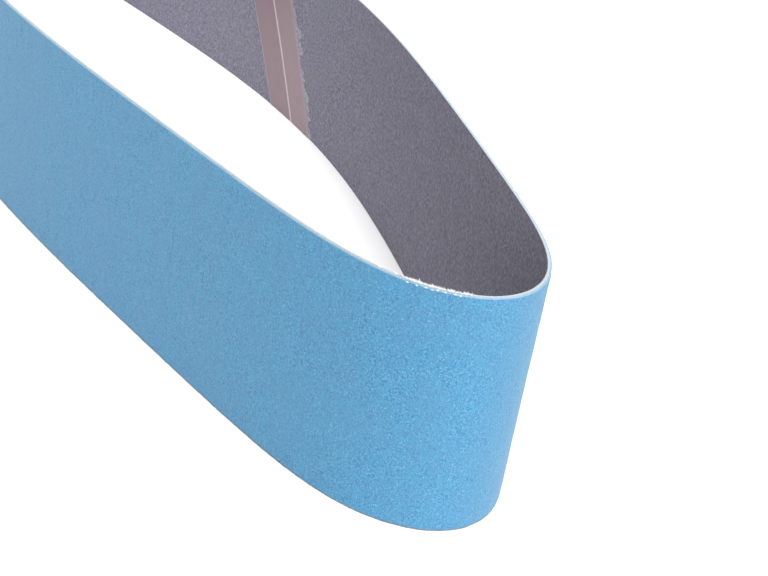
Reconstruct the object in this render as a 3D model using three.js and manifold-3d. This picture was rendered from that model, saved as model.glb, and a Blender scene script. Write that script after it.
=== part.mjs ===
// Endless coated-abrasive belt for a belt grinder, standing on one edge.
// Millimetres, +Z up. The origin is on the floor below the middle of the loop:
// X runs along the loop's long axis from fold to fold, Y across it, Z up the belt's width.
// The belt has never been opened out on a machine, so it keeps the two tight folds of its packing.

import * as THREE from "three";
import { mergeVertices } from "three/addons/utils/BufferGeometryUtils.js";
import Module from "manifold-3d";

// Belt
const BELT_WIDTH = 50;
const BELT_LENGTH = 914; // once round the loop, on the grinding face

// Layers, from the grinding face to the back
const GRAIN_THICKNESS = 0.34;
const MAKE_THICKNESS = 0.06;
const CLOTH_THICKNESS = 0.5;
const BACKSIZE_THICKNESS = 0.08;
const BOND_LINE = 0.02; // between two bonded layers
const EDGE_RECESS = 0.1; // from the cloth's cut edge to the edges of the coats

// Curvature along a quarter of the loop: a tight fold at its start, a slow bow at its end
const FOLD_CURVATURE = 0.0687; // 1/mm, at the tip of the fold
const FOLD_REACH = 21.5; // distance from the tip over which the fold fades
const FOLD_FADE = 1.29;
const BOW_FADE = 6;

// Splice: the strip's slanted ends meet in a butt joint under a tape
const SPLICE_ANGLE = THREE.MathUtils.degToRad(52); // between the joint and the belt's edge
const SPLICE_X = -30.8; // joint at half the belt's width
const JOINT_GAP = 0.3;
const ADHESIVE_WIDTH = 23;
const ADHESIVE_THICKNESS = 0.05;
const TAPE_WIDTH = 24;
const TAPE_THICKNESS = 0.12;
const TAPE_OFFSET = -0.8; // from the joint to the middle of the tape and its adhesive

// Facets
const STATIONS = 44; // along a quarter of the loop
const CROWDING = 1.8; // above 1 crowds the stations towards the fold
const SUBSTEPS = 50; // between two stations, when the curvature is summed

const QUARTER = BELT_LENGTH / 4;

const wasm = await Module();
wasm.setup();

function foldShape(s) {
  return Math.exp(-((s / FOLD_REACH) ** FOLD_FADE));
}

function bowShape(s) {
  return Math.sin((Math.PI / 2) * (s / QUARTER)) ** BOW_FADE;
}

// The sum of a shape over a quarter of the loop, by the midpoint rule.
function sumOverQuarter(shape) {
  const steps = STATIONS * SUBSTEPS;
  const step = QUARTER / steps;
  let sum = 0;
  for (let i = 0; i < steps; i++) {
    sum += shape((i + 0.5) * step) * step;
  }
  return sum;
}

// The bow takes whatever curvature turns a quarter of the loop by a right angle.
const BOW_CURVATURE = (Math.PI / 2 - FOLD_CURVATURE * sumOverQuarter(foldShape)) / sumOverQuarter(bowShape);

// Points and outward normals from a fold's tip, at the origin, to the middle of a side.
// The loop's long axis runs along +x from the tip, and the side leaves it along +y.
function quarterStations() {
  const stations = [{ x: 0, y: 0, nx: -1, ny: 0 }];
  let x = 0;
  let y = 0;
  let s = 0;
  let heading = 0; // from +y towards +x
  for (let k = 1; k <= STATIONS; k++) {
    const step = (QUARTER * (k / STATIONS) ** CROWDING - s) / SUBSTEPS;
    for (let i = 0; i < SUBSTEPS; i++) {
      const middle = s + step / 2;
      const turn = (FOLD_CURVATURE * foldShape(middle) + BOW_CURVATURE * bowShape(middle)) * step;
      x += Math.sin(heading + turn / 2) * step;
      y += Math.cos(heading + turn / 2) * step;
      heading += turn;
      s += step;
    }
    stations.push({ x, y, nx: -Math.cos(heading), ny: Math.sin(heading) });
  }
  return stations;
}

// The whole loop, anticlockwise from the fold at +X, centred on the origin.
function loopStations() {
  const quarter = quarterStations();
  const halfLength = quarter[STATIONS].x;
  const first = quarter.map((q) => ({ x: halfLength - q.x, y: q.y, nx: -q.nx, ny: q.ny }));
  const second = first.map((q) => ({ x: -q.x, y: q.y, nx: -q.nx, ny: q.ny })).reverse();
  const side = [...first.slice(0, -1), ...second.slice(0, -1)];
  const otherSide = side.map((q) => ({ x: -q.x, y: -q.y, nx: -q.nx, ny: -q.ny }));
  return [...side, ...otherSide];
}

const LOOP = loopStations();

// Depths from the belt's outer face to the outer face of each layer
const MAKE_DEPTH = GRAIN_THICKNESS + BOND_LINE;
const CLOTH_DEPTH = MAKE_DEPTH + MAKE_THICKNESS + BOND_LINE;
const BACKSIZE_DEPTH = CLOTH_DEPTH + CLOTH_THICKNESS + BOND_LINE;
const ADHESIVE_DEPTH = BACKSIZE_DEPTH + BACKSIZE_THICKNESS + BOND_LINE;
const TAPE_DEPTH = ADHESIVE_DEPTH + ADHESIVE_THICKNESS + BOND_LINE;

function solid(vertices, triangles) {
  const mesh = new wasm.Mesh({
    numProp: 3,
    vertProperties: new Float32Array(vertices),
    triVerts: new Uint32Array(triangles),
  });
  return new wasm.Manifold(mesh);
}

// A closed band that follows the loop, its outer face at a depth below the belt's outer face.
function band(depth, thickness, recess) {
  const section = [
    [depth, recess],
    [depth, BELT_WIDTH - recess],
    [depth + thickness, BELT_WIDTH - recess],
    [depth + thickness, recess],
  ];
  const vertices = [];
  const triangles = [];
  LOOP.forEach((station, i) => {
    const here = i * section.length;
    const next = ((i + 1) % LOOP.length) * section.length;
    section.forEach(([inset, z], k) => {
      const beside = (k + 1) % section.length;
      vertices.push(station.x - inset * station.nx, station.y - inset * station.ny, z);
      triangles.push(here + k, next + k, next + beside);
      triangles.push(here + k, next + beside, here + beside);
    });
  });
  return solid(vertices, triangles);
}

// A slab that lies along the splice, its middle at an offset across it from the joint.
// It crosses only the side of the loop that holds the splice.
function spliceSlab(width, offset = 0) {
  const slab = new THREE.BoxGeometry(width, BELT_WIDTH, 3 * BELT_WIDTH);
  slab.translate(offset, 0, 0);
  slab.rotateY(SPLICE_ANGLE - Math.PI / 2);
  slab.translate(SPLICE_X, BELT_WIDTH, BELT_WIDTH / 2);
  slab.deleteAttribute("normal");
  slab.deleteAttribute("uv");
  const merged = mergeVertices(slab);
  return solid(merged.getAttribute("position").array, merged.getIndex().array);
}

// A layer of the strip: a band that stops short of the joint at both of its ends.
function stripLayer(depth, thickness, recess) {
  return band(depth, thickness, recess).subtract(spliceSlab(JOINT_GAP));
}

// A layer of the splice: the part of a band that lies along the joint.
function spliceLayer(depth, thickness, width) {
  return band(depth, thickness, EDGE_RECESS).intersect(spliceSlab(width, TAPE_OFFSET));
}

function node(name, body, color, roughness) {
  const { numProp, vertProperties, triVerts } = body.getMesh();
  const geometry = new THREE.BufferGeometry();
  geometry.setAttribute("position", new THREE.BufferAttribute(vertProperties, numProp));
  geometry.setIndex(new THREE.BufferAttribute(triVerts, 1));
  geometry.computeVertexNormals();
  const mesh = new THREE.Mesh(geometry, new THREE.MeshStandardMaterial({ color, roughness, metalness: 0 }));
  mesh.name = name;
  return mesh;
}

const belt = new THREE.Group();
belt.add(
  node("abrasive_grain", stripLayer(0, GRAIN_THICKNESS, EDGE_RECESS), 0x649fcc, 0.9),
  node("make_coat", stripLayer(MAKE_DEPTH, MAKE_THICKNESS, EDGE_RECESS), 0x5a463a, 0.6),
  node("backing_cloth", stripLayer(CLOTH_DEPTH, CLOTH_THICKNESS, 0), 0xe6e2d8, 0.95),
  node("backsize_coat", stripLayer(BACKSIZE_DEPTH, BACKSIZE_THICKNESS, EDGE_RECESS), 0x57525c, 0.8),
  node("splice_adhesive", spliceLayer(ADHESIVE_DEPTH, ADHESIVE_THICKNESS, ADHESIVE_WIDTH), 0xc9b3a6, 0.5),
  node("splice_tape", spliceLayer(TAPE_DEPTH, TAPE_THICKNESS, TAPE_WIDTH), 0x8a6a6c, 0.45),
);

export default belt;
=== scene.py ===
"""Looks of an endless abrasive belt: grain, cloth, backsize, splice and frayed edges, in a white studio.

Lengths are in metres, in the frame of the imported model: X along the loop, Y across it, Z up its width.
A point of the belt is given by s, the distance round the loop from the tip of the fold at +X and
anticlockwise from above, by its height z, and by its depth below the grinding face.
"""

import math

import bpy
import numpy as np
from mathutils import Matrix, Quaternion, Vector


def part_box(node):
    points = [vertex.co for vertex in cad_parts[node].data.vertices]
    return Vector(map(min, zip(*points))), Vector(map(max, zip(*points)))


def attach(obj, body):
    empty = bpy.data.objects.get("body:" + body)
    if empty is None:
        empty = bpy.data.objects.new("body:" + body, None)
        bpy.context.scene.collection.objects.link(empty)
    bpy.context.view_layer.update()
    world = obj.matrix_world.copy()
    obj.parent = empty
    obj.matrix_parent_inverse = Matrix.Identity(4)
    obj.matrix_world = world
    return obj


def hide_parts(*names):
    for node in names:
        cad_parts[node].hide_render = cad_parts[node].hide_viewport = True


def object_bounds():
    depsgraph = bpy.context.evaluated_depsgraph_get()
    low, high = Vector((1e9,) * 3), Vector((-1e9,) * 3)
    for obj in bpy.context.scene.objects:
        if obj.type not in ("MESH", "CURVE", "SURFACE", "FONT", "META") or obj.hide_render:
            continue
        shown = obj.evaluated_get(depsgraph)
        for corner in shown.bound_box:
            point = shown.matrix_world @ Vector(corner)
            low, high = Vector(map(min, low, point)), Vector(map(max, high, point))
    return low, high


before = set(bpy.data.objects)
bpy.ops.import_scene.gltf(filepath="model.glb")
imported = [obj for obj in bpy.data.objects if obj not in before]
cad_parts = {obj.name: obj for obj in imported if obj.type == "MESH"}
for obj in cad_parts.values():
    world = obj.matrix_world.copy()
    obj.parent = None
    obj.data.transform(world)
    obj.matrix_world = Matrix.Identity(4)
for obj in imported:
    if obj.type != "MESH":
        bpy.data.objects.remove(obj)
CAD_LOW, CAD_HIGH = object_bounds()

MM = 0.001

# The loop, with the driving dimensions of the CAD model
BELT_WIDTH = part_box("backing_cloth")[1].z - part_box("backing_cloth")[0].z
BELT_LENGTH = 914 * MM  # once round the loop, on the grinding face
FOLD_CURVATURE = 68.7  # 1/m, at the tip of the fold
FOLD_REACH = 21.5 * MM  # distance from the tip over which the fold fades
FOLD_FADE = 1.29
BOW_FADE = 6
PATH_STEPS = 20000

# The splice
SPLICE_ANGLE = math.radians(52)
JOINT_GAP = 0.3 * MM
TAPE_WIDTH = 24 * MM
TAPE_OFFSET = 0.8 * MM  # from the joint to the middle of the tape, square to the joint
TAPE_LOW, TAPE_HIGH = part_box("splice_tape")
SPLICE_X = (TAPE_LOW.x + TAPE_HIGH.x) / 2 + TAPE_OFFSET / math.sin(SPLICE_ANGLE)
SPLICE_COLUMNS = 125  # up the belt, on the tape and its adhesive
SHEAR_REACH = 130 * MM  # the strip's rows slant near its ends, and stand upright beyond this

# Layers
GRAIN_THICKNESS = 0.34 * MM
MAKE_THICKNESS = 0.06 * MM
CLOTH_THICKNESS = 0.5 * MM
BACKSIZE_THICKNESS = 0.08 * MM
ADHESIVE_THICKNESS = 0.05 * MM
TAPE_THICKNESS = 0.12 * MM
SMALLEST_RECESS = 0.04 * MM  # from the cloth's cut edge to a coat's uneven edge
HIDDEN_COLUMNS = 7  # across the belt, on faces that are bonded to a neighbour
SHARP_ANGLE = math.radians(48)  # edges that turn more than this are shaded as corners

# The weave
WARP_PITCH = 0.42 * MM  # along the belt, as it shows through the backsize
WEFT_PITCH = 0.36 * MM
YARN_PITCH = 0.6 * MM  # between the yarns that a cut edge crosses
YARN_RECESS = 0.05 * MM  # from the cut's plane to the gaps between those yarns
FINE = 4  # stations along a cut edge for each one along the cloth's faces

# The part of the belt whose edges frayed when it was slit, on the -Y side beside the fold at +X
FRAY_MIDDLE = BELT_LENGTH - 12.5 * MM
FRAY_HALF = 11 * MM

# Loose fibres
FIBRE_RINGS = 5
FIBRE_SIDES = 4
FIBRE_TIP = 0.45  # radius at a fibre's tip, as a share of the radius at its root

# Studio
FLOOR_REACH = 4.0
FLOOR_WHITENESS = 0.68
LIGHT_SIZE = math.radians(35)
WALL_TOP = 0.15  # heights in the surroundings, as sines of the elevation
CEILING_RIM = 0.7
WALL_STRENGTH = 1.0
CEILING_STRENGTH = 0.3

# Camera
CAMERA_PLACE = Vector((451.3, -151.9, 169.9)) * MM
CAMERA_AZIMUTH = math.radians(61.68)
CAMERA_PITCH = math.radians(23.51)
CAMERA_ROLL = math.radians(10.93)
CAMERA_LENS = 79.24


# ---- The loop ----------------------------------------------------------------------------------


def running_sum(values, step):
    return np.concatenate([[0], np.cumsum((values[1:] + values[:-1]) / 2)]) * step


def loop_path():
    """Columns s, x, y, and the outward normal's x and y, once round the loop."""
    s = np.linspace(0, BELT_LENGTH, PATH_STEPS + 1)
    step = BELT_LENGTH / PATH_STEPS
    quarter = BELT_LENGTH / 4
    from_fold = np.abs((s + quarter) % (2 * quarter) - quarter)
    fold = np.exp(-((from_fold / FOLD_REACH) ** FOLD_FADE))
    bow = np.sin(math.pi / 2 * from_fold / quarter) ** BOW_FADE
    fold_turn = running_sum(FOLD_CURVATURE * fold, step)
    bow_sum = running_sum(bow, step)
    heading = fold_turn + bow_sum * (2 * math.pi - fold_turn[-1]) / bow_sum[-1]
    x = running_sum(-np.sin(heading), step)
    y = running_sum(np.cos(heading), step)
    x -= (x.max() + x.min()) / 2
    y -= (y.max() + y.min()) / 2
    return s, x, y, np.cos(heading), np.sin(heading)


LOOP = loop_path()


def on_belt(s, z, depth):
    """Points of the belt, from arrays of s, z and depth."""
    x, y, normal_x, normal_y = (np.interp(s % BELT_LENGTH, LOOP[0], column) for column in LOOP[1:])
    z = np.broadcast_to(z, x.shape)
    return np.stack([x - depth * normal_x, y - depth * normal_y, z], axis=-1)


def depth_of(node):
    """How far a CAD layer's outer face lies below the grinding face."""
    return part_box("abrasive_grain")[1].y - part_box(node)[1].y


def splice_s(z):
    """Where the joint crosses the belt at height z."""
    x = SPLICE_X - (z - BELT_WIDTH / 2) / math.tan(SPLICE_ANGLE)
    side = LOOP[0] <= BELT_LENGTH / 2
    return np.interp(-x, -LOOP[1][side], LOOP[0][side])


def smooth(t):
    t = np.clip(t, 0, 1)
    return t * t * (3 - 2 * t)


def strip_grid(rows, heights):
    """s and z of a grid over the strip, rows along it by heights across it, from joint to joint."""
    along = np.linspace(JOINT_GAP / 2, BELT_LENGTH - JOINT_GAP / 2, rows)[:, None]
    heights = np.broadcast_to(heights, (rows, np.shape(heights)[-1]))
    from_end = np.minimum(along, BELT_LENGTH - along)
    shear = (splice_s(heights) - splice_s(BELT_WIDTH / 2)) * (1 - smooth(from_end / SHEAR_REACH))
    return splice_s(BELT_WIDTH / 2) + along + shear, heights


def fray(s):
    """1 in the middle of the frayed stretch, falling to 0 outside it."""
    return 1 - smooth(np.abs(s % BELT_LENGTH - FRAY_MIDDLE) / FRAY_HALF)


# ---- Noise and meshes --------------------------------------------------------------------------


def noise(rng, rows, columns, cell):
    """Smooth noise between -1 and 1 on a grid, with features about cell points wide."""
    row = np.arange(rows) / cell
    column = np.arange(columns) / cell
    coarse = rng.uniform(-1, 1, (int(row[-1]) + 2, int(column[-1]) + 2))
    i = row.astype(int)
    j = column.astype(int)
    down = smooth(row - i)[:, None]
    right = smooth(column - j)
    near = coarse[i][:, j] * (1 - right) + coarse[i][:, j + 1] * right
    far = coarse[i + 1][:, j] * (1 - right) + coarse[i + 1][:, j + 1] * right
    return near * (1 - down) + far * down


def make_piece(name, points, faces, surface, material, node=None):
    """A smooth-shaded mesh that rides on the root. surface is each point's place on the belt."""
    mesh = bpy.data.meshes.new(name)
    mesh.from_pydata(points.tolist(), [], faces)
    attribute = mesh.attributes.new("surface", "FLOAT_VECTOR", "POINT")
    attribute.data.foreach_set("vector", surface.astype(np.float32).ravel())
    mesh.shade_smooth()
    mesh.set_sharp_from_angle(angle=SHARP_ANGLE)
    mesh.materials.append(material)
    piece = bpy.data.objects.new(name, mesh)
    bpy.context.scene.collection.objects.link(piece)
    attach(piece, "root")
    if node:
        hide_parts(node)
    return piece


def quads(a, b, c, d):
    return np.stack([a, b, c, d], axis=-1).reshape(-1, 4).tolist()


def slab(outer, inner):
    """Points and faces of a closed slab between two grids, rows along the belt by columns across it.

    The grids have the same rows. The inner one may have fewer columns, where the ends are straight.
    """
    points = np.concatenate([outer.reshape(-1, 3), inner.reshape(-1, 3)])
    a = np.arange(outer.shape[0] * outer.shape[1]).reshape(outer.shape[:2])
    b = np.arange(inner.shape[0] * inner.shape[1]).reshape(inner.shape[:2]) + a.size
    faces = quads(a[:-1, :-1], a[1:, :-1], a[1:, 1:], a[:-1, 1:])
    faces += quads(b[:-1, :-1], b[:-1, 1:], b[1:, 1:], b[1:, :-1])
    faces += quads(a[:-1, 0], b[:-1, 0], b[1:, 0], a[1:, 0])
    faces += quads(a[:-1, -1], a[1:, -1], b[1:, -1], b[:-1, -1])
    if a.shape == b.shape:
        faces += quads(a[0, :-1], a[0, 1:], b[0, 1:], b[0, :-1])
        faces += quads(b[-1, :-1], b[-1, 1:], a[-1, 1:], a[-1, :-1])
    else:
        faces.append([*a[0].tolist(), *b[0, ::-1].tolist()])
        faces.append([*b[-1].tolist(), *a[-1, ::-1].tolist()])
    return points, faces


def belt_places(*grids):
    """The surface attribute of points in grids of s and z: s, z and the distance from the joint's line."""
    columns = []
    for s, z in grids:
        from_joint = (s - splice_s(z)) * math.sin(SPLICE_ANGLE)
        columns.append(np.stack([s, z, from_joint], axis=-1).reshape(-1, 3))
    return np.concatenate(columns)


# ---- Materials ---------------------------------------------------------------------------------


class Nodes:
    """A short way to write a node tree."""

    def __init__(self, name):
        self.material = bpy.data.materials.new(name)
        self.material.use_nodes = True
        self.tree = self.material.node_tree
        self.shader = self.tree.nodes["Principled BSDF"]
        self.shader.inputs["Metallic"].default_value = 0

    def feed(self, socket, value):
        """Sets a socket, or links another node's output to it."""
        if isinstance(value, bpy.types.NodeSocket):
            self.tree.links.new(value, socket)
        else:
            socket.default_value = value

    def add(self, kind, **inputs):
        node = self.tree.nodes.new(kind)
        for name, value in inputs.items():
            self.feed(node.inputs[name.replace("_", " ")], value)
        return node

    def shade(self, **inputs):
        for name, value in inputs.items():
            self.feed(self.shader.inputs[name.replace("_", " ")], value)

    def surface(self):
        """Where a point lies on the belt: s, z and the distance from the joint's line."""
        node = self.add("ShaderNodeAttribute")
        node.attribute_name = "surface"
        return self.add("ShaderNodeSeparateXYZ", Vector=node.outputs["Vector"]).outputs

    def pattern(self, kind, size, **inputs):
        """A texture node in the object's own coordinates, with features of that size."""
        place = self.add("ShaderNodeTexCoord").outputs["Object"]
        return self.add(kind, Vector=place, Scale=1 / size, **inputs)

    def speckle(self, size, detail=2.0, roughness=0.6):
        """3-D noise."""
        return self.pattern("ShaderNodeTexNoise", size, Detail=detail, Roughness=roughness).outputs["Fac"]

    def cells(self, size):
        """The distance to the middle of the nearest 3-D cell."""
        return self.pattern("ShaderNodeTexVoronoi", size).outputs["Distance"]

    def calc(self, operation, a, b=0.0):
        node = self.tree.nodes.new("ShaderNodeMath")
        node.operation = operation
        self.feed(node.inputs[0], a)
        self.feed(node.inputs[1], b)
        return node.outputs[0]

    def ramp(self, value, low, high, to_low=0.0, to_high=1.0):
        """Value mapped from low..high to to_low..to_high, and held outside."""
        node = self.add("ShaderNodeMapRange", Value=value)
        node.inputs["From Min"].default_value = low
        node.inputs["From Max"].default_value = high
        node.inputs["To Min"].default_value = to_low
        node.inputs["To Max"].default_value = to_high
        return node.outputs["Result"]

    def spread(self, speckle, to_low=0.0, to_high=1.0):
        """Speckle, which lies mostly between 0.3 and 0.7, spread over to_low..to_high."""
        return self.ramp(speckle, 0.3, 0.7, to_low, to_high)

    def mix(self, amount, a, b):
        """Colour a, with that amount of colour b over it."""
        node = self.tree.nodes.new("ShaderNodeMix")
        node.data_type = "RGBA"
        sockets = {socket.identifier: socket for socket in node.inputs}
        self.feed(sockets["Factor_Float"], amount)
        self.feed(sockets["A_Color"], a)
        self.feed(sockets["B_Color"], b)
        return next(socket for socket in node.outputs if socket.identifier == "Result_Color")

    def bump(self, height, distance, strength=1.0, onto=None):
        node = self.add("ShaderNodeBump", Height=height, Distance=distance, Strength=strength)
        if onto is not None:
            self.feed(node.inputs["Normal"], onto)
        return node.outputs["Normal"]


def grey(value):
    return (value, value, value, 1)


def grain_material():
    """Blue size coat over grit, with bright tips, a pale upper edge and painted contact shade along the
    lower one.
    """
    n = Nodes("blue_grain")
    valley = (0.023, 0.112, 0.236, 1)
    crest = (0.078, 0.242, 0.376, 1)
    clump = (0.042, 0.210, 0.345, 1)
    patch = (0.058, 0.174, 0.302, 1)
    bright_tip = (0.25, 0.43, 0.54, 1)
    upper_edge = (0.26, 0.37, 0.44, 1)
    # painted shade: a dark colour for the contact shadow along the belt's bottom edge
    lower_edge_shade = (0.12, 0.11, 0.11, 1)

    grit = n.speckle(0.46 * MM, detail=4.0, roughness=0.8)
    color = n.mix(n.ramp(grit, 0.41, 0.60), valley, crest)
    color = n.mix(n.ramp(n.speckle(1.6 * MM), 0.38, 0.62, 0.0, 0.5), color, clump)
    color = n.mix(n.ramp(n.speckle(9 * MM), 0.38, 0.62, 0.0, 0.35), color, patch)
    tips = n.ramp(n.cells(0.5 * MM), 0.24, 0.08, 0.0, 0.8)
    tips = n.calc("MULTIPLY", tips, n.ramp(n.speckle(1.1 * MM), 0.42, 0.58))
    color = n.mix(tips, color, bright_tip)

    height = n.surface()[1]
    ragged = n.spread(grit, -0.14 * MM, 0.14 * MM)
    from_top = n.calc("ADD", n.calc("SUBTRACT", BELT_WIDTH, height), ragged)
    from_bottom = n.calc("ADD", height, ragged)
    color = n.mix(n.ramp(from_top, 0.42 * MM, 0.16 * MM, 0.0, 0.8), color, upper_edge)
    # painted shade: the coat darkens towards its lower edge, standing in for the contact shadow at the floor
    color = n.mix(n.ramp(from_bottom, 0.50 * MM, 0.25 * MM, 0.0, 0.7), color, lower_edge_shade)

    relief = n.bump(n.cells(0.30 * MM), 0.08 * MM, 0.7)
    relief = n.bump(grit, 0.20 * MM, 0.7, onto=relief)
    n.shade(Base_Color=color, Roughness=n.spread(grit, 0.60, 0.85), Normal=relief)
    n.shade(Specular_IOR_Level=0.35, Sheen_Weight=0.1, Sheen_Roughness=0.45)
    return n.material


def make_material():
    """Grey resin. Only the coat's cut edge shows."""
    n = Nodes("make_resin")
    flow = n.speckle(0.6 * MM)
    color = n.mix(flow, (0.28, 0.29, 0.30, 1), (0.42, 0.44, 0.46, 1))
    n.shade(Base_Color=color, Roughness=n.spread(flow, 0.35, 0.6), Normal=n.bump(flow, 0.03 * MM, 0.5))
    return n.material


def cloth_material():
    """Pale cotton and polyester yarn, cut across."""
    n = Nodes("raw_cloth")
    fibres = n.speckle(0.12 * MM, detail=3.0)
    yarns = n.speckle(0.7 * MM)
    color = n.mix(n.spread(fibres), (0.20, 0.24, 0.27, 1), (0.37, 0.42, 0.46, 1))
    color = n.mix(n.ramp(yarns, 0.4, 0.7, 0.0, 0.3), color, (0.25, 0.31, 0.36, 1))
    n.shade(Base_Color=color, Roughness=n.spread(fibres, 0.85, 1.0))
    n.shade(Normal=n.bump(fibres, 0.05 * MM, 0.6))
    n.shade(Sheen_Weight=0.3, Sheen_Roughness=0.5, Specular_IOR_Level=0.2)
    return n.material


def fibre_material():
    """White loose fibres, a little translucent."""
    n = Nodes("loose_fibre")
    fibres = n.speckle(0.3 * MM)
    color = n.mix(fibres, (0.50, 0.49, 0.49, 1), (0.78, 0.78, 0.78, 1))
    n.shade(Base_Color=color, Roughness=n.spread(fibres, 0.7, 0.95))
    n.shade(Subsurface_Weight=0.3, Subsurface_Scale=0.2 * MM, Sheen_Weight=0.2, Specular_IOR_Level=0.3)
    return n.material


def weave(n):
    """Height of a plain weave: yarn crests in both directions, alternating like a checkerboard."""
    s, z, _ = n.surface()
    along = n.calc("SINE", n.calc("MULTIPLY", s, math.pi / WARP_PITCH))
    up = n.calc("SINE", n.calc("MULTIPLY", z, math.pi / WEFT_PITCH))
    return n.calc("MULTIPLY", along, up)


def backsize_material():
    """Dark resin that fills the back of the cloth: the weave shows through it as paler crests."""
    n = Nodes("dark_backsize")
    dark = (0.128, 0.124, 0.158, 1)
    pale = (0.236, 0.230, 0.292, 1)
    patch = (0.205, 0.196, 0.222, 1)
    worn_crest = (0.38, 0.38, 0.43, 1)

    crests = weave(n)
    speckle = n.speckle(0.75 * MM, detail=4.0, roughness=0.7)
    patches = n.speckle(7 * MM, detail=3.0)
    color = n.mix(n.ramp(speckle, 0.39, 0.61), dark, pale)
    color = n.mix(n.ramp(patches, 0.38, 0.66, 0.0, 0.3), color, patch)
    worn = n.ramp(n.calc("ADD", crests, n.spread(speckle, -0.6, 0.6)), 0.5, 1.3, 0.0, 0.4)
    color = n.mix(worn, color, worn_crest)

    relief = n.bump(crests, 0.03 * MM, 0.6)
    relief = n.bump(speckle, 0.10 * MM, 0.6, onto=relief)
    n.shade(Base_Color=color, Roughness=n.spread(speckle, 0.75, 0.95), Normal=relief)
    n.shade(Specular_IOR_Level=0.12)
    return n.material


def tape_material():
    """Mauve-brown film over adhesive: greyer on one side of the joint, with painted highlights along its
    ridge and rims.
    """
    n = Nodes("splice_film")
    # painted highlight along the ridge over the joint
    ridge_highlight_color = (0.52, 0.40, 0.43, 1)
    # painted highlight along the tape's edges
    rim_highlight_color = (0.33, 0.27, 0.29, 1)

    across = n.surface()[2]
    clouds = n.speckle(2.5 * MM, detail=3.0)
    brown = n.mix(clouds, (0.165, 0.096, 0.116, 1), (0.205, 0.130, 0.154, 1))
    greyer = n.mix(clouds, (0.185, 0.119, 0.137, 1), (0.222, 0.152, 0.170, 1))
    color = n.mix(n.ramp(across, -0.2 * MM, 0.2 * MM), greyer, brown)
    # painted highlight: a pale line along the ridge where the tape bridges the joint
    ridge = n.ramp(n.calc("ABSOLUTE", across), 0.6 * MM, 0.3 * MM, 0.0, 0.8)
    color = n.mix(ridge, color, ridge_highlight_color)
    # painted highlight: paler rims along both edges of the tape
    from_middle = n.calc("ABSOLUTE", n.calc("SUBTRACT", across, TAPE_OFFSET))
    rim_highlight = n.ramp(from_middle, TAPE_WIDTH / 2 - 0.7 * MM, TAPE_WIDTH / 2 - 0.1 * MM, 0.0, 0.5)
    color = n.mix(rim_highlight, color, rim_highlight_color)

    relief = n.bump(weave(n), 0.02 * MM, 0.35)
    relief = n.bump(clouds, 0.15 * MM, 0.3, onto=relief)
    n.shade(Base_Color=color, Roughness=n.spread(clouds, 0.34, 0.5), Normal=relief)
    n.shade(Coat_Weight=0.25, Coat_Roughness=0.3)
    return n.material


def adhesive_material():
    """Cured adhesive, pale and cloudy where it was squeezed out past the tape."""
    n = Nodes("splice_glue")
    clouds = n.speckle(0.8 * MM, detail=3.0)
    color = n.mix(n.ramp(clouds, 0.46, 0.58), (0.165, 0.162, 0.200, 1), (0.27, 0.27, 0.315, 1))
    n.shade(Base_Color=color, Roughness=n.spread(clouds, 0.3, 0.55), Normal=n.bump(clouds, 0.06 * MM, 0.6))
    return n.material


# ---- Coats -------------------------------------------------------------------------------------


def edge_recess(rng, rows, typical, ragged):
    """How far a coat's edge lies below the cloth's cut edge, along the strip."""
    rough = noise(rng, rows, 1, 1)[:, 0] * 0.6 + noise(rng, rows, 1, 5)[:, 0] * 0.4
    return np.maximum(typical + ragged * rough, SMALLEST_RECESS)


def coat_heights(rng, rows, columns, typical, ragged):
    """Heights of a coat's grid, between its two uneven edges."""
    low = edge_recess(rng, rows, typical, ragged)
    high = BELT_WIDTH - edge_recess(rng, rows, typical, ragged)
    share = np.linspace(0, 1, columns)
    return low[:, None] * (1 - share) + high[:, None] * share


def hidden_grid(rows, heights):
    """The grid of the coat's bonded face, which has fewer columns than the bare one."""
    chosen = np.linspace(0, heights.shape[1] - 1, HIDDEN_COLUMNS).astype(int)
    return strip_grid(rows, heights[:, chosen])


def grain_coat():
    """The grinding face: grit in relief, rounded at its edges and chipped where the belt frayed."""
    rng = np.random.default_rng(11)
    rows = 1236
    columns = 68
    deepest_chip = 0.5 * MM
    edge_drop = 0.08 * MM
    heights = coat_heights(rng, rows, columns, 0.2 * MM, 0.08 * MM)
    s, z = strip_grid(rows, heights)
    z = z.copy()
    chips = deepest_chip * fray(s[:, -1]) * np.maximum(noise(rng, rows, 1, 1.5)[:, 0], 0)
    z[:, -1] -= chips
    z[:, 0] += chips
    grit = 0.035 * MM * rng.uniform(-1, 1, (rows, columns))
    clumps = 0.03 * MM * noise(rng, rows, columns, 2.5)
    swells = 0.03 * MM * noise(rng, rows, columns, 14)
    relief = grit + (clumps + swells)
    relief[:, [0, -1]] += edge_drop
    inner_s, inner_z = hidden_grid(rows, heights)
    points, faces = slab(on_belt(s, z, relief), on_belt(inner_s, inner_z, GRAIN_THICKNESS))
    surface = belt_places((s, z), (inner_s, inner_z))
    return make_piece("abrasive_coat", points, faces, surface, grain_material(), "abrasive_grain")


def resin_coat():
    """The make coat, bonded on both of its faces, so that only its uneven edges show."""
    rng = np.random.default_rng(12)
    rows = 916
    depth = depth_of("make_coat")
    heights = coat_heights(rng, rows, HIDDEN_COLUMNS, 0.14 * MM, 0.04 * MM)
    s, z = strip_grid(rows, heights)
    points, faces = slab(on_belt(s, z, depth), on_belt(s, z, depth + MAKE_THICKNESS))
    surface = belt_places((s, z), (s, z))
    return make_piece("make_resin", points, faces, surface, make_material(), "make_coat")


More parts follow.
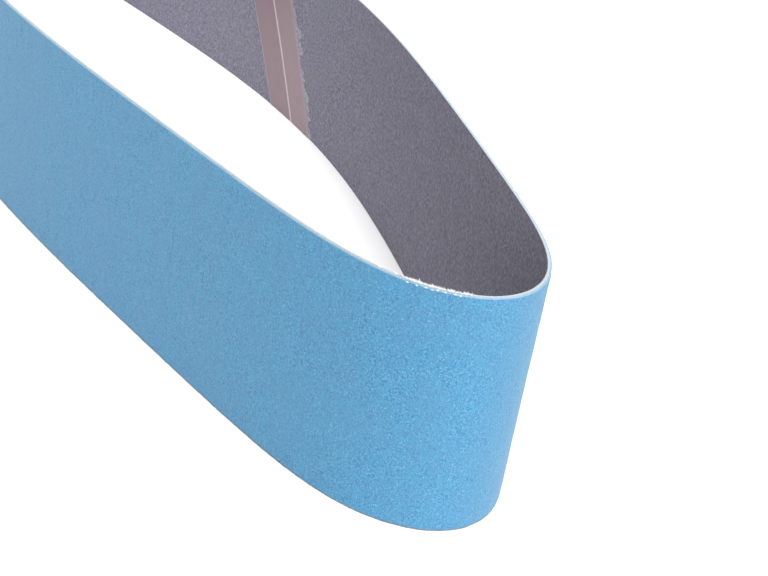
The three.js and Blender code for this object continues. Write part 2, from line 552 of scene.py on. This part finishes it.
def backsize():
    """The inner face, a thin coat with a little relief."""
    rng = np.random.default_rng(13)
    rows = 916
    columns = 52
    edge_drop = 0.03 * MM
    highest = 0.015 * MM  # stays clear of the splice adhesive, across the bond line
    depth = depth_of("backsize_coat")
    heights = coat_heights(rng, rows, columns, 0.07 * MM, 0.03 * MM)
    s, z = strip_grid(rows, heights)
    threads = 0.010 * MM * rng.uniform(-1, 1, (rows, columns))
    swells = 0.012 * MM * noise(rng, rows, columns, 9)
    relief = threads + swells
    relief[:, [0, -1]] -= edge_drop
    inner = on_belt(s, z, depth + BACKSIZE_THICKNESS + np.minimum(relief, highest))
    outer_s, outer_z = hidden_grid(rows, heights)
    points, faces = slab(inner, on_belt(outer_s, outer_z, depth))
    faces = [face[::-1] for face in faces]
    surface = belt_places((s, z), (outer_s, outer_z))
    return make_piece("backsize_layer", points, faces, surface, backsize_material(), "backsize_coat")


# ---- Cloth -------------------------------------------------------------------------------------


def cut_yarns(seed):
    """For each yarn that a cut edge crosses, how far it bulges out, and how much further if frayed."""
    rng = np.random.default_rng(seed)
    count = int(BELT_LENGTH / YARN_PITCH) + 2
    bulge = rng.uniform(0.03, 0.07, count) * MM
    frayed = rng.uniform(0, 0.16, count) * MM
    return bulge, frayed


def yarn_ends(yarns, s, share):
    """How far the yarns' rounded ends stand out of a cut edge. Every other yarn lies deeper."""
    bulge, frayed = yarns
    half_width = 0.55 * YARN_PITCH
    half_depth = 0.62  # as a share of the cloth's thickness, like the depth of a yarn's middle
    number = np.floor(s / YARN_PITCH).astype(int)
    middle = (number + 0.5) * YARN_PITCH
    middle_depth = np.where(number % 2 == 0, 0.36, 0.64)
    round_off = 1 - ((s - middle) / half_width) ** 2 - ((share - middle_depth) / half_depth) ** 2
    number %= len(bulge)
    return (bulge[number] + frayed[number] * fray(s)) * np.sqrt(np.maximum(round_off, 0))


def cloth_ring():
    """Rows, height and share of the thickness for each string of points, in order round the section.

    The strings run along the strip, coarse on its faces and fine round its cut edges.
    """
    coarse_rows = 1225
    fine_rows = (coarse_rows - 1) * FINE + 1
    flank = 0.3 * MM
    levels = np.linspace(0, BELT_WIDTH, HIDDEN_COLUMNS)[1:-1]
    shares = (0.04, 0.35, 0.65, 0.96)
    ring = [(fine_rows, flank, 0)]
    ring += [(coarse_rows, z, 0) for z in levels]
    ring += [(fine_rows, BELT_WIDTH - flank, 0)]
    ring += [(fine_rows, BELT_WIDTH, share) for share in shares]
    ring += [(fine_rows, BELT_WIDTH - flank, 1)]
    ring += [(coarse_rows, z, 1) for z in levels[::-1]]
    ring += [(fine_rows, flank, 1)]
    ring += [(fine_rows, 0, share) for share in shares[::-1]]
    return ring


def stitch(a, b):
    """Faces between two strings of points. Where one has FINE times the points, its steps share a face."""
    if len(a) == len(b):
        return quads(a[:-1], a[1:], b[1:], b[:-1])
    faces = []
    for i in range(min(len(a), len(b)) - 1):
        steps = slice(FINE * i, FINE * i + FINE + 1)
        if len(a) > len(b):
            faces.append([*a[steps].tolist(), int(b[i + 1]), int(b[i])])
        else:
            faces.append([int(a[i]), int(a[i + 1]), *b[steps][::-1].tolist()])
    return faces


def cloth():
    """The backing, a closed ring of strings with the cut yarns' ends along both of its edges."""
    depth = depth_of("backing_cloth")
    upper_yarns = cut_yarns(15)
    lower_yarns = cut_yarns(16)
    strings = []
    grids = []
    for rows, z, share in cloth_ring():
        s, height = (grid[:, 0] for grid in strip_grid(rows, np.array([z])))
        if z == BELT_WIDTH:
            height = height + (yarn_ends(upper_yarns, s, share) - YARN_RECESS)
        if z == 0:
            height = height - (yarn_ends(lower_yarns, s, share) - YARN_RECESS)
        strings.append(on_belt(s, height, depth + share * CLOTH_THICKNESS))
        grids.append((s, height))

    points = np.concatenate(strings)
    points[:, 2] = np.maximum(points[:, 2], 0)
    lengths = [len(string) for string in strings]
    numbers = np.split(np.arange(len(points)), np.cumsum(lengths)[:-1])
    faces = []
    for here, beside in zip(numbers, numbers[1:] + numbers[:1]):
        faces += stitch(here, beside)
    faces.append([int(string[0]) for string in numbers])
    faces.append([int(string[-1]) for string in numbers[::-1]])
    return make_piece("cloth_strip", points, faces, belt_places(*grids), cloth_material(), "backing_cloth")


# ---- Loose fibres ------------------------------------------------------------------------------


def tubes(paths, radii):
    """Closed tubes along paths[fibre][ring], thinning towards their tips."""
    count = len(paths)
    ahead = np.gradient(paths, axis=1)
    ahead /= np.linalg.norm(ahead, axis=-1, keepdims=True)
    off_axis = np.array([0.31, 0.87, 0.38])
    side = np.cross(ahead, off_axis)
    side /= np.linalg.norm(side, axis=-1, keepdims=True)
    over = np.cross(ahead, side)
    turn = np.arange(FIBRE_SIDES) * 2 * math.pi / FIBRE_SIDES
    taper = np.linspace(1, FIBRE_TIP, FIBRE_RINGS)[:, None, None]
    ring = side[:, :, None] * np.cos(turn)[:, None] + over[:, :, None] * np.sin(turn)[:, None]
    points = paths[:, :, None] + ring * taper * radii[:, None, None, None]
    ids = np.arange(points[..., 0].size).reshape(count, FIBRE_RINGS, FIBRE_SIDES)
    beside = np.roll(ids, -1, axis=2)
    faces = quads(ids[:, :-1], beside[:, :-1], beside[:, 1:], ids[:, 1:])
    faces += ids[:, 0, ::-1].tolist()
    faces += ids[:, -1].tolist()
    return points.reshape(-1, 3), faces


def fibre_paths(rng, s, z, share, rise, along, outward):
    """Curved paths that start in the cloth's edge, rise from it and lean along the belt and outwards."""
    t = np.linspace(0, 1, FIBRE_RINGS)
    path_s = s[:, None] + along[:, None] * t**1.6
    path_z = z[:, None] + rise[:, None] * t * (1.25 - 0.25 * t)
    depth = depth_of("backing_cloth") + share * CLOTH_THICKNESS
    path_depth = depth[:, None] - outward[:, None] * t**1.5
    wander = rng.uniform(-1, 1, (len(s), FIBRE_RINGS)) * 0.03 * MM * t
    return on_belt(path_s, path_z, path_depth + wander)


def edge_fuzz(rng):
    """Paths and radii of the short fibres all along both cut edges."""
    count = 1000
    upper = rng.random(count) < 0.6
    s = rng.uniform(0, BELT_LENGTH, count)
    rise = rng.gamma(2.0, 0.07, count) * MM
    rise = np.where(upper, rise, rise * 0.2)
    z = np.where(upper, BELT_WIDTH - 0.05 * MM, 0.05 * MM)
    share = rng.uniform(0.05, 0.95, count)
    along = rng.normal(0, 0.18, count) * MM
    outward = rng.normal(0, 0.12, count) * MM
    paths = fibre_paths(rng, s, z, share, rise, along, outward)
    return paths, rng.uniform(0.014, 0.03, count) * MM


def torn_fringe(rng):
    """Paths and radii of the tufts where the slitting knife tore the yarns."""
    count = 1200
    tufts = FRAY_MIDDLE + rng.normal(0, 0.42, 60) * FRAY_HALF
    s = rng.choice(tufts, count) + rng.normal(0, 0.22, count) * MM
    upper = rng.random(count) < 0.8
    rise = rng.gamma(3.0, 0.065, count) * MM
    rise = np.where(upper, rise, rise * 0.1)
    z = np.where(upper, BELT_WIDTH - 0.08 * MM, 0.06 * MM)
    share = rng.uniform(0.0, 1.0, count)
    along = rng.normal(0, 0.22, count) * MM
    outward = rng.normal(0.08, 0.16, count) * MM
    paths = fibre_paths(rng, s, z, share, rise, along, outward)
    return paths, rng.uniform(0.03, 0.06, count) * MM


def caught_lint(rng):
    """Paths and radii of the fibres in a few crumbs of lint on the grain, just below the frayed edge."""
    count = 160
    crumbs = 8
    middles = np.linspace(-0.45, 0.5, crumbs) + rng.uniform(-0.06, 0.06, crumbs)
    chosen = rng.integers(crumbs, size=count)
    s = (FRAY_MIDDLE + middles * FRAY_HALF)[chosen] + rng.normal(0, 0.12, count) * MM
    z = BELT_WIDTH - rng.uniform(0.12, 0.45, crumbs)[chosen] * MM + rng.normal(0, 0.04, count) * MM
    above_grain = depth_of("backing_cloth") + 0.02 * MM
    share = np.full(count, -above_grain / CLOTH_THICKNESS)
    rise = rng.normal(0, 0.07, count) * MM
    along = rng.normal(0, 0.09, count) * MM
    outward = rng.uniform(0, 0.06, count) * MM
    paths = fibre_paths(rng, s, z, share, rise, along, outward)
    return paths, rng.uniform(0.04, 0.075, count) * MM


def loose_fibres():
    """All the loose fibres of the cloth, in one piece."""
    rng = np.random.default_rng(17)
    groups = [edge_fuzz(rng), torn_fringe(rng), caught_lint(rng)]
    paths = np.concatenate([group[0] for group in groups])
    radii = np.concatenate([group[1] for group in groups])
    points, faces = tubes(paths, radii)
    points[:, 2] = np.maximum(points[:, 2], 0.005 * MM)
    piece = make_piece("loose_fibres", points, faces, np.zeros_like(points), fibre_material())
    return piece


# ---- Splice ------------------------------------------------------------------------------------


def splice_grid(across):
    """s and z over the splice: rows at distances across it from the joint, columns up it."""
    z = np.linspace(0.1 * MM, BELT_WIDTH - 0.1 * MM, SPLICE_COLUMNS)
    z = np.broadcast_to(z, (len(across), SPLICE_COLUMNS))
    return splice_s(z) + np.reshape(across, (len(across), -1)) / math.sin(SPLICE_ANGLE), z


def splice_tape():
    """Film with a ridge where it bridges the joint, its edges pressed down."""
    rng = np.random.default_rng(18)
    rows = 111
    ridge_height = 0.07 * MM
    ridge_half = 0.32 * MM
    edge_drop = 0.05 * MM
    across = TAPE_OFFSET + np.linspace(-TAPE_WIDTH / 2, TAPE_WIDTH / 2, rows)
    depth = depth_of("splice_tape")
    s, z = splice_grid(across)
    ridge = ridge_height * np.exp(-((across / ridge_half) ** 2))
    fine = 0.012 * MM * noise(rng, rows, SPLICE_COLUMNS, 3)
    broad = 0.02 * MM * noise(rng, rows, SPLICE_COLUMNS, 16)
    raised = ridge[:, None] + fine + broad
    raised[[0, -1]] -= edge_drop
    outer = on_belt(s, z, np.full_like(s, depth))
    inner = on_belt(s, z, depth + TAPE_THICKNESS + raised)
    points, faces = slab(outer, inner)
    surface = belt_places((s, z), (s, z))
    return make_piece("splice_film", points, faces, surface, tape_material(), "splice_tape")


def splice_adhesive():
    """Adhesive under the tape, squeezed out past its edges, and furthest on the right seen from inside."""
    rng = np.random.default_rng(19)
    rows = 61
    share = np.linspace(-1, 1, rows)[:, None]
    fine = noise(rng, 1, SPLICE_COLUMNS, 3)[0]
    broad = noise(rng, 1, SPLICE_COLUMNS, 9)[0]
    ragged = 0.5 + 0.5 * (0.6 * fine + 0.4 * broad)
    left = TAPE_WIDTH / 2 + 0.12 * MM + 0.3 * MM * ragged
    right = TAPE_WIDTH / 2 + 0.2 * MM + 4.2 * MM * np.roll(ragged, 40) ** 2.0
    from_middle = np.where(share < 0, share * right, share * left)
    depth = depth_of("splice_adhesive")
    s, z = splice_grid(TAPE_OFFSET + from_middle)
    bare = np.abs(from_middle) > TAPE_WIDTH / 2
    uneven = np.where(bare, 0.012 * MM * noise(rng, rows, SPLICE_COLUMNS, 2), 0)
    outer = on_belt(s, z, np.full_like(s, depth))
    inner = on_belt(s, z, depth + ADHESIVE_THICKNESS + uneven)
    points, faces = slab(outer, inner)
    surface = belt_places((s, z), (s, z))
    return make_piece("splice_glue", points, faces, surface, adhesive_material(), "splice_adhesive")


# ---- Studio ------------------------------------------------------------------------------------


def floor():
    """A wide flat sheet of pale card, level with the bottom of the belt."""
    material = Nodes("pale_floor")
    material.shade(Base_Color=grey(FLOOR_WHITENESS), Roughness=0.9, Specular_IOR_Level=0.1)
    mesh = bpy.data.meshes.new("floor")
    corners = [(-1, -1), (1, -1), (1, 1), (-1, 1)]
    mesh.from_pydata([(x * FLOOR_REACH, y * FLOOR_REACH, CAD_LOW.z) for x, y in corners], [], [(0, 1, 2, 3)])
    mesh.materials.append(material.material)
    sheet = bpy.data.objects.new("floor", mesh)
    bpy.context.scene.collection.objects.link(sheet)


def soft_light(name, direction, strength):
    """Soft light from that direction. At strength 1, white card that faces it comes out just white."""
    light = bpy.data.lights.new(name, "SUN")
    light.angle = LIGHT_SIZE
    light.energy = math.pi * strength
    lamp = bpy.data.objects.new(name, light)
    lamp.rotation_mode = "QUATERNION"
    lamp.rotation_quaternion = Vector(direction).to_track_quat("Z", "Y")
    lamp.location = Vector(direction)
    bpy.context.scene.collection.objects.link(lamp)


def surround():
    """White walls all round, and a dimmer ceiling."""
    world = bpy.data.worlds.new("studio_walls")
    world.use_nodes = True
    nodes = world.node_tree.nodes
    links = world.node_tree.links
    direction = nodes.new("ShaderNodeTexCoord")
    split = nodes.new("ShaderNodeSeparateXYZ")
    height = nodes.new("ShaderNodeMapRange")
    height.inputs["From Min"].default_value = WALL_TOP
    height.inputs["From Max"].default_value = CEILING_RIM
    height.inputs["To Min"].default_value = WALL_STRENGTH
    height.inputs["To Max"].default_value = CEILING_STRENGTH
    links.new(direction.outputs["Generated"], split.inputs["Vector"])
    links.new(split.outputs["Z"], height.inputs["Value"])
    links.new(height.outputs["Result"], nodes["Background"].inputs["Strength"])
    nodes["Background"].inputs["Color"].default_value = grey(1)
    bpy.context.scene.world = world


def studio():
    surround()
    bpy.context.scene.view_settings.view_transform = "Standard"
    soft_light("key", (0.94, -0.34, 0.45), 0.75)
    soft_light("side", (0.6, 0.8, 0.45), 0.55)
    soft_light("overhead", (0.3, -0.1, 1.0), 1.3)


def camera():
    data = bpy.data.cameras.new("camera")
    data.lens = CAMERA_LENS
    data.clip_start = 0.01
    data.dof.use_dof = False
    level = math.cos(CAMERA_PITCH)
    ahead = Vector(
        (
            -math.sin(CAMERA_AZIMUTH) * level,
            math.cos(CAMERA_AZIMUTH) * level,
            -math.sin(CAMERA_PITCH),
        )
    )
    cam = bpy.data.objects.new("camera", data)
    cam.location = CAMERA_PLACE
    cam.rotation_mode = "QUATERNION"
    cam.rotation_quaternion = ahead.to_track_quat("-Z", "Y") @ Quaternion((0, 0, 1), CAMERA_ROLL)
    bpy.context.scene.collection.objects.link(cam)
    bpy.context.scene.camera = cam


camera()
studio()
floor()
grain_coat()
resin_coat()
strip = cloth()
fibres = loose_fibres()
backsize()
splice_adhesive()
splice_tape()
